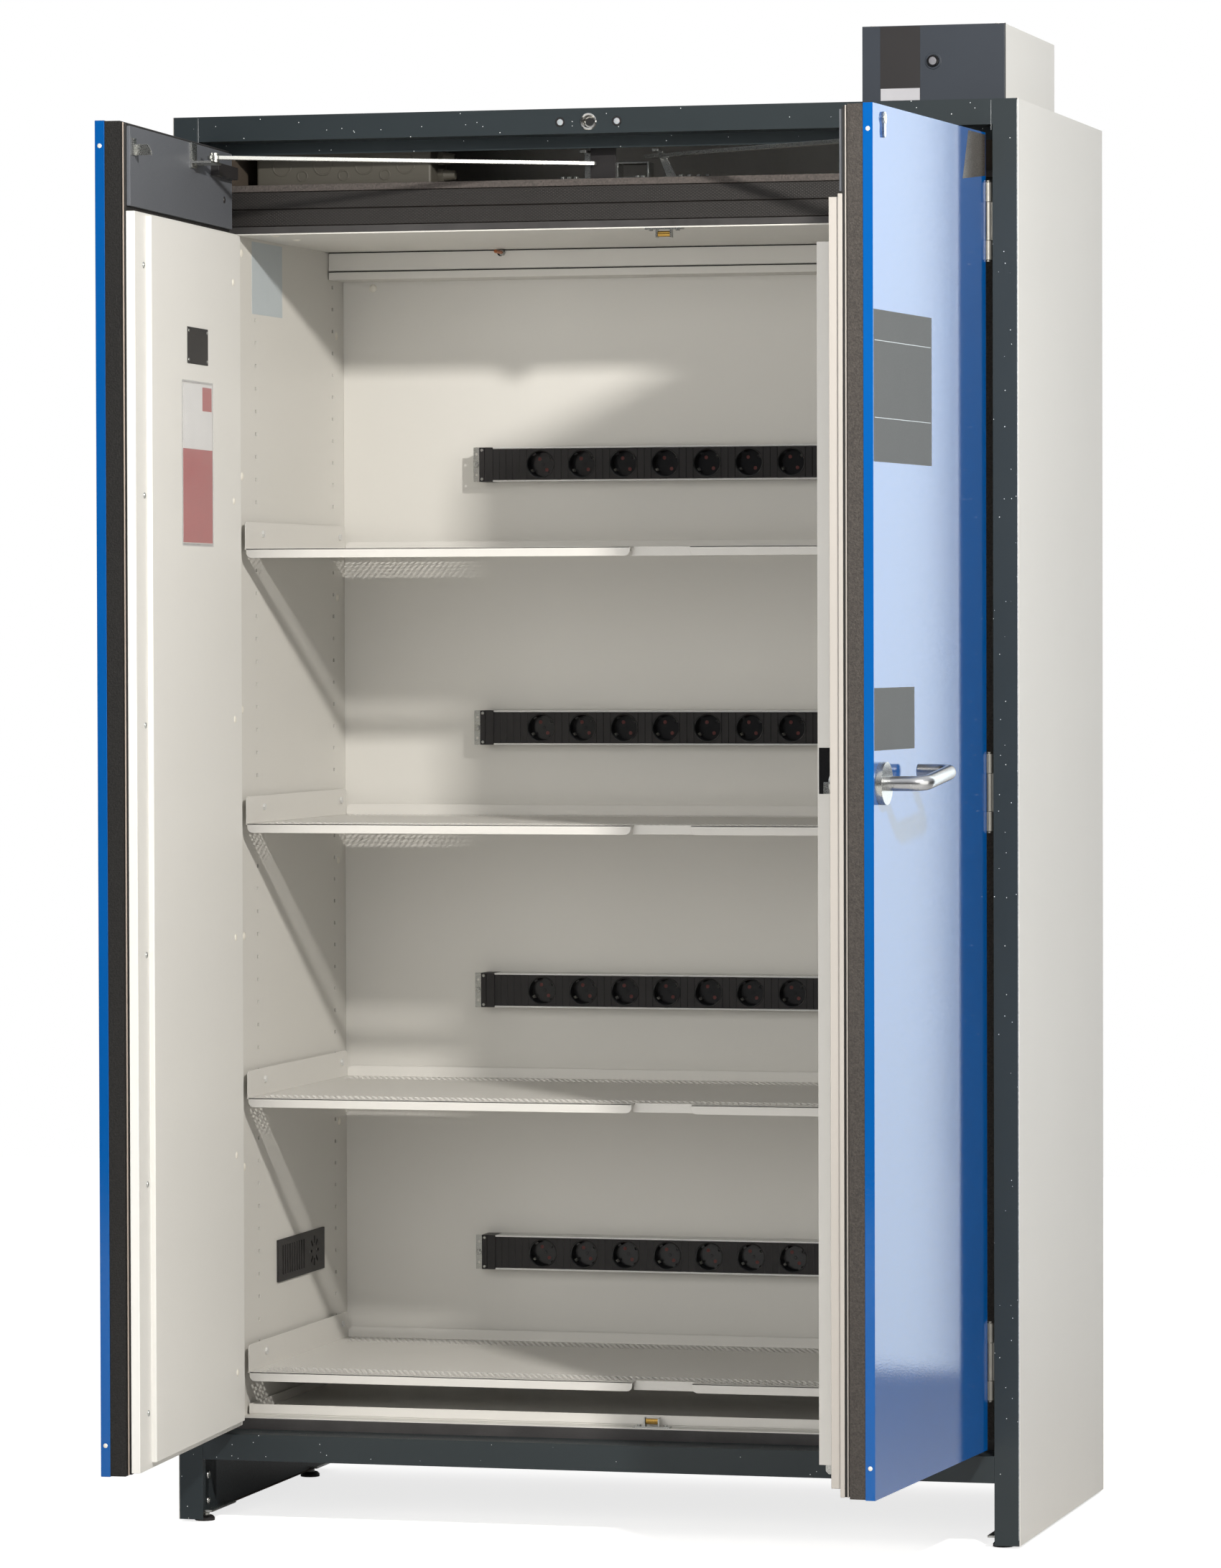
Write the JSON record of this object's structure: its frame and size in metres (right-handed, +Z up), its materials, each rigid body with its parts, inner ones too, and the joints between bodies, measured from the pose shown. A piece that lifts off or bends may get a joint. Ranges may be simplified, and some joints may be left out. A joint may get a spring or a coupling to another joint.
{
  "type": "battery storage cabinet",
  "caption": "Free-standing fire-resistant cabinet with hinged doors for storing and charging batteries, fitted with shelves, socket strips, a sump tray and a roof fan unit.",
  "frame": {"origin": "on the floor, under the middle of the cabinet's front frame face", "axes": "+X to the cabinet's right seen from the front, +Y to the back, +Z up"},
  "size_m": [1.193, 1.1688, 2.0571],
  "materials": {
    "posts": "anthracite powder coat with fine sparkle",
    "header": "anthracite powder coat with fine sparkle",
    "bottom_rail": "anthracite powder coat with fine sparkle",
    "side_panels": "light grey powder coat",
    "rear_panel": "light grey powder coat",
    "roof_panel": "light grey powder coat",
    "fire_boards": "raw cut board",
    "chamber_walls": "light grey coated sheet, semi-matt",
    "chamber_lining": "light grey coated sheet, semi-matt",
    "seal_frame": "dark grey coated frame with mesh bands",
    "exhaust_duct": "light grey coated sheet, semi-matt",
    "shelf_1": "light grey powder coat, fine texture",
    "shelf_2": "light grey powder coat, fine texture",
    "shelf_3": "light grey powder coat, fine texture",
    "shelf_4": "light grey powder coat, fine texture",
    "shelf_screws": "zinc plated",
    "sump_tray": "light grey powder coat, fine texture",
    "strip_profiles": "satin anodised",
    "socket_inserts": "black, glossy moulded",
    "strip_ends": "black moulded",
    "junction_box": "grey moulded",
    "cable_glands": "grey moulded",
    "centre_plate": "black coat",
    "stay_guides": "zinc plated",
    "roller_brackets": "zinc plated",
    "signal_lamps": "dark glossy lens",
    "fan_front": "smooth dark grey",
    "fan_cover": "light grey powder coat",
    "fan_motor": "moulded housing",
    "exhaust_spigot": "galvanised",
    "foot_brackets": "zinc plated",
    "wall_grille": "black moulded",
    "frame_hinges": "zinc plated",
    "roller_top": "turned brass",
    "roller_bottom": "turned brass",
    "fan_impeller": "black moulded",
    "fan_button": "black moulded",
    "foot_front_left": "black plastic pad on zinc stud",
    "foot_front_right": "black plastic pad on zinc stud",
    "foot_rear_left": "black plastic pad on zinc stud",
    "foot_rear_right": "black plastic pad on zinc stud",
    "lock_cover": "light grey powder coat",
    "lever_handle": "brushed stainless",
    "bolt_top": "zinc plated",
    "bolt_bottom": "zinc plated",
    "lock_plug": "nickel plated",
    "left_stay": "zinc plated",
    "right_stay": "zinc plated",
    "left_door_skin": "blue powder coat, semi-gloss",
    "left_door_core": "black rough swelling strip",
    "left_door_liner": "light grey laminated board",
    "left_door_top_plate": "smooth dark grey",
    "left_door_hinges": "zinc plated",
    "left_door_fittings": "zinc plated",
    "right_door_skin": "blue powder coat, semi-gloss",
    "right_door_core": "black rough swelling strip",
    "right_door_liner": "light grey laminated board",
    "right_door_top_plate": "smooth dark grey",
    "right_door_hinges": "zinc plated",
    "right_door_fittings": "zinc plated"
  },
  "bodies": {
    "cabinet": {"posts": "posts", "header": "header", "bottom_rail": "bottom_rail", "side_panels": "side_panels", "rear_panel": "rear_panel", "roof_panel": "roof_panel", "fire_boards": "fire_boards", "chamber_walls": "chamber_walls", "chamber_lining": "chamber_lining", "seal_frame": "seal_frame", "exhaust_duct": "exhaust_duct", "shelf_1": "shelf_1", "shelf_2": "shelf_2", "shelf_3": "shelf_3", "shelf_4": "shelf_4", "shelf_screws": "shelf_screws", "sump_tray": "sump_tray", "strip_profiles": "strip_profiles", "socket_inserts": "socket_inserts", "strip_ends": "strip_ends", "junction_box": "junction_box", "cable_glands": "cable_glands", "centre_plate": "centre_plate", "stay_guides": "stay_guides", "roller_brackets": "roller_brackets", "signal_lamps": "signal_lamps", "fan_front": "fan_front", "fan_cover": "fan_cover", "fan_motor": "fan_motor", "exhaust_spigot": "exhaust_spigot", "foot_brackets": "foot_brackets", "wall_grille": "wall_grille", "frame_hinges": "frame_hinges"},
    "left_door": {"left_door_skin": "left_door_skin", "left_door_core": "left_door_core", "left_door_liner": "left_door_liner", "left_door_top_plate": "left_door_top_plate", "left_door_hinges": "left_door_hinges", "left_door_fittings": "left_door_fittings"},
    "right_door": {"right_door_skin": "right_door_skin", "right_door_core": "right_door_core", "right_door_liner": "right_door_liner", "right_door_top_plate": "right_door_top_plate", "right_door_hinges": "right_door_hinges", "right_door_fittings": "right_door_fittings", "lock_cover": "lock_cover"},
    "handle": {"lever_handle": "lever_handle"},
    "top_bolt": {"bolt_top": "bolt_top"},
    "bottom_bolt": {"bolt_bottom": "bolt_bottom"},
    "key_plug": {"lock_plug": "lock_plug"},
    "left_stay_rail": {"left_stay": "left_stay"},
    "right_stay_rail": {"right_stay": "right_stay"},
    "top_roller": {"roller_top": "roller_top"},
    "bottom_roller": {"roller_bottom": "roller_bottom"},
    "impeller": {"fan_impeller": "fan_impeller"},
    "button": {"fan_button": "fan_button"},
    "front_left_foot": {"foot_front_left": "foot_front_left"},
    "front_right_foot": {"foot_front_right": "foot_front_right"},
    "rear_left_foot": {"foot_rear_left": "foot_rear_left"},
    "rear_right_foot": {"foot_rear_right": "foot_rear_right"}
  },
  "joints": [
    {"name": "left_door_swing", "type": "hinge", "parent": "cabinet", "child": "left_door", "pos_m": [-0.5545, -0.001, 1.0209], "axis": [0, 0, 1], "range_deg": [-5, 86.4]},
    {"name": "right_door_swing", "type": "hinge", "parent": "cabinet", "child": "right_door", "pos_m": [0.5545, -0.001, 1.0209], "axis": [0, 0, 1], "range_deg": [-86.4, 5]},
    {"name": "left_stay_turn", "type": "hinge", "parent": "left_door", "child": "left_stay_rail", "pos_m": [-0.47333, -0.19228, 1.882], "axis": [0, 0, 1], "range_deg": [-117, 7]},
    {"name": "right_stay_turn", "type": "hinge", "parent": "right_door", "child": "right_stay_rail", "pos_m": [0.47333, -0.19228, 1.89], "axis": [0, 0, 1], "range_deg": [-7.5, 120.5]},
    {"name": "handle_turn", "type": "hinge", "parent": "right_door", "child": "handle", "pos_m": [0.55067, -0.52379, 1.045], "axis": [-0.998, 0.0628, 0], "range_deg": [0, 40], "stiffness_Nm_per_rad": 1.5, "springref_deg": -40.11},
    {"name": "top_bolt_slide", "type": "slide", "parent": "right_door", "child": "top_bolt", "axis": [0, 0, 1], "range_m": [-0.0142, 0]},
    {"name": "bottom_bolt_slide", "type": "slide", "parent": "right_door", "child": "bottom_bolt", "axis": [0, 0, 1], "range_m": [0, 0.0142]},
    {"name": "key_turn", "type": "hinge", "parent": "right_door", "child": "key_plug", "pos_m": [0.52179, -0.50494, 1.89], "axis": [-0.998, 0.0628, 0], "range_deg": [0, 90]},
    {"name": "top_roller_turn", "type": "hinge", "parent": "cabinet", "child": "top_roller", "pos_m": [0.0887, 0.07, 1.784], "axis": [1, 0, 0], "continuous": true},
    {"name": "bottom_roller_turn", "type": "hinge", "parent": "cabinet", "child": "bottom_roller", "pos_m": [0.067, 0.07, 0.1505], "axis": [1, 0, 0], "continuous": true},
    {"name": "impeller_turn", "type": "hinge", "parent": "cabinet", "child": "impeller", "pos_m": [0.476, 0.165, 1.977], "axis": [0, 0, 1], "continuous": true},
    {"name": "button_press", "type": "slide", "parent": "cabinet", "child": "button", "axis": [0, 1, 0], "range_m": [0, 0.002], "stiffness_N_per_m": 200, "springref_m": -0.002},
    {"name": "front_left_foot_screw", "type": "slide", "parent": "cabinet", "child": "front_left_foot", "axis": [0, 0, -1], "range_m": [0, 0.015]},
    {"name": "front_right_foot_screw", "type": "slide", "parent": "cabinet", "child": "front_right_foot", "axis": [0, 0, -1], "range_m": [0, 0.015]},
    {"name": "rear_left_foot_screw", "type": "slide", "parent": "cabinet", "child": "rear_left_foot", "axis": [0, 0, -1], "range_m": [0, 0.015]},
    {"name": "rear_right_foot_screw", "type": "slide", "parent": "cabinet", "child": "rear_right_foot", "axis": [0, 0, -1], "range_m": [0, 0.015]}
  ],
  "couplings": [
    {"joint": "left_stay_turn", "follows": "left_door_swing", "ratio": -1.3494},
    {"joint": "right_stay_turn", "follows": "right_door_swing", "ratio": -1.39},
    {"joint": "top_bolt_slide", "follows": "handle_turn", "m_per_rad": -0.02005},
    {"joint": "bottom_bolt_slide", "follows": "handle_turn", "m_per_rad": 0.02005}
  ]
}
